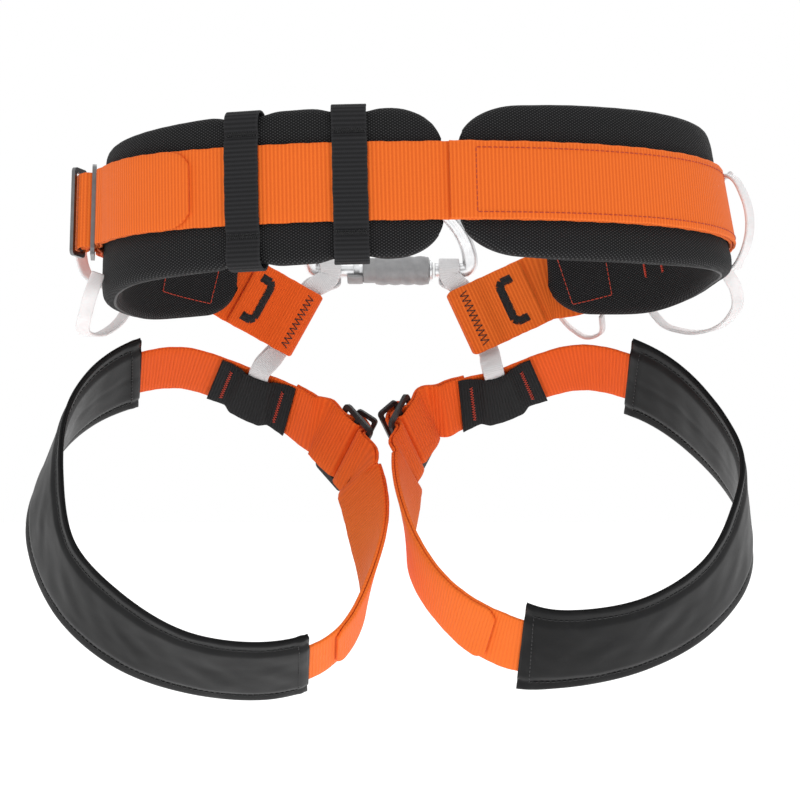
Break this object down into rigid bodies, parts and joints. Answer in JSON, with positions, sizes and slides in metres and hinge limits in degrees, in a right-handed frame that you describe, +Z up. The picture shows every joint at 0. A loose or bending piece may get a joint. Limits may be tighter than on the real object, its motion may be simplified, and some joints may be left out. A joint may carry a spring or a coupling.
{
  "type": "climbing seat harness",
  "caption": "Seat harness: padded waist belt with side buckle, leg loops with vinyl covers and strap adjusters, gear loops, locking carabiner at the front.",
  "frame": {"origin": "middle of the waist opening, level with the middle of the belt webbing at the wearer's sides", "axes": "+X towards the wearer's right-hand side as worn seen from behind, +Y to the wearer's front, +Z up"},
  "size_m": [0.4707, 0.2806, 0.3587],
  "materials": {
    "orange_webbing": "coarse ribbed polyester webbing",
    "black_webbing": "black ribbed webbing",
    "pad_fabric": "fine black knit mesh over foam",
    "cover_vinyl": "smooth black coated fabric, slightly glossy",
    "white_webbing": "white narrow webbing",
    "gear_loop_plastic": "pale flexible plastic",
    "buckle_steel": "plain zinc plated steel",
    "buckle_black": "black coated steel",
    "aluminium": "satin",
    "sleeve_grey": "grey anodised, ribbed",
    "spring_steel": "bright wire"
  },
  "bodies": {
    "belt": {"pad_left": "pad_fabric", "pad_right": "pad_fabric", "waist_webbing": "orange_webbing", "front_left_webbing": "orange_webbing", "belt_reinforcement": "orange_webbing", "tool_loop_inner": "black_webbing", "tool_loop_outer": "black_webbing", "waist_buckle_frame": "buckle_steel", "waist_buckle_slider": "buckle_steel", "tie_in_loop_left": "white_webbing", "tie_in_loop_right": "white_webbing"},
    "carabiner": {"carabiner_body": "aluminium", "gate_pin": "spring_steel"},
    "gate": {"carabiner_gate": "aluminium", "gate_spring": "spring_steel", "sleeve_spring": "spring_steel"},
    "gate_ring": {"sleeve_ring": "aluminium"},
    "sleeve": {"locking_sleeve": "sleeve_grey"},
    "leg_left": {"leg_webbing_left": "orange_webbing", "leg_cover_left": "cover_vinyl", "leg_keeper_left": "black_webbing", "leg_buckle_left_frame": "buckle_black", "leg_buckle_left_slider": "buckle_black"},
    "leg_right": {"leg_webbing_right": "orange_webbing", "leg_cover_right": "cover_vinyl", "leg_keeper_right": "black_webbing", "leg_buckle_right_frame": "buckle_black", "leg_buckle_right_slider": "buckle_black"},
    "gear_loop_rear_right": {"gear_loop_rear_right": "gear_loop_plastic"},
    "gear_loop_rear_left": {"gear_loop_rear_left": "gear_loop_plastic"},
    "gear_loop_side_right": {"gear_loop_side_right": "gear_loop_plastic"},
    "gear_loop_side_left": {"gear_loop_side_left": "gear_loop_plastic"},
    "gear_loop_front_right": {"gear_loop_front_right": "gear_loop_plastic"}
  },
  "joints": [
    {"name": "leg_swing_left", "type": "hinge", "parent": "belt", "child": "leg_left", "pos_m": [-0.09, 0.133, -0.113], "axis": [-1, 0, 0], "range_deg": [0, 28], "deforming": ["tie_in_loop_left"]},
    {"name": "leg_swing_right", "type": "hinge", "parent": "belt", "child": "leg_right", "pos_m": [0.071, 0.133, -0.113], "axis": [-1, 0, 0], "range_deg": [0, 22], "deforming": ["tie_in_loop_right"]},
    {"name": "carabiner_swing", "type": "hinge", "parent": "belt", "child": "carabiner", "pos_m": [0, 0.13, -0.033], "axis": [-1, 0, 0], "range_deg": [0, 90], "deforming": ["tie_in_loop_left", "tie_in_loop_right"]},
    {"name": "gate_open", "type": "hinge", "parent": "carabiner", "child": "gate", "pos_m": [-0.0265, 0.13, -0.033], "axis": [0, -0.9397, -0.342], "range_deg": [0, 25], "stiffness_Nm_per_rad": 0.05, "springref_deg": -22.92},
    {"name": "sleeve_lift", "type": "slide", "parent": "gate", "child": "gate_ring", "axis": [-1, 0, 0], "range_m": [0, 0.003], "stiffness_N_per_m": 300, "springref_m": -0.003, "deforming": ["sleeve_spring"]},
    {"name": "sleeve_turn", "type": "hinge", "parent": "gate_ring", "child": "sleeve", "pos_m": [0, 0.13, -0.033], "axis": [1, 0, 0], "range_deg": [0, 90], "stiffness_Nm_per_rad": 0.01, "springref_deg": -28.65},
    {"name": "loop_swing_rear_right", "type": "hinge", "parent": "belt", "child": "gear_loop_rear_right", "pos_m": [0.20806, 0.0036, -0.00893], "axis": [0.0825, -0.1343, -0.9875], "range_deg": [-30, 18]},
    {"name": "loop_swing_rear_left", "type": "hinge", "parent": "belt", "child": "gear_loop_rear_left", "pos_m": [-0.17078, 0.0262, -0.0224], "axis": [-0.0021, -0.1279, -0.9918], "range_deg": [-25, 25]},
    {"name": "loop_swing_side_right", "type": "hinge", "parent": "belt", "child": "gear_loop_side_right", "pos_m": [0.18744, 0.06871, -0.04781], "axis": [0.5155, -0.8214, 0.2439], "range_deg": [0, 60]},
    {"name": "loop_swing_side_left", "type": "hinge", "parent": "belt", "child": "gear_loop_side_left", "pos_m": [-0.16755, 0.00147, -0.05104], "axis": [0.1205, 0.9742, -0.191], "range_deg": [0, 60]},
    {"name": "loop_swing_front_right", "type": "hinge", "parent": "belt", "child": "gear_loop_front_right", "pos_m": [0.12155, 0.12533, -0.05679], "axis": [0.8831, -0.3616, -0.2989], "range_deg": [0, 60]}
  ]
}
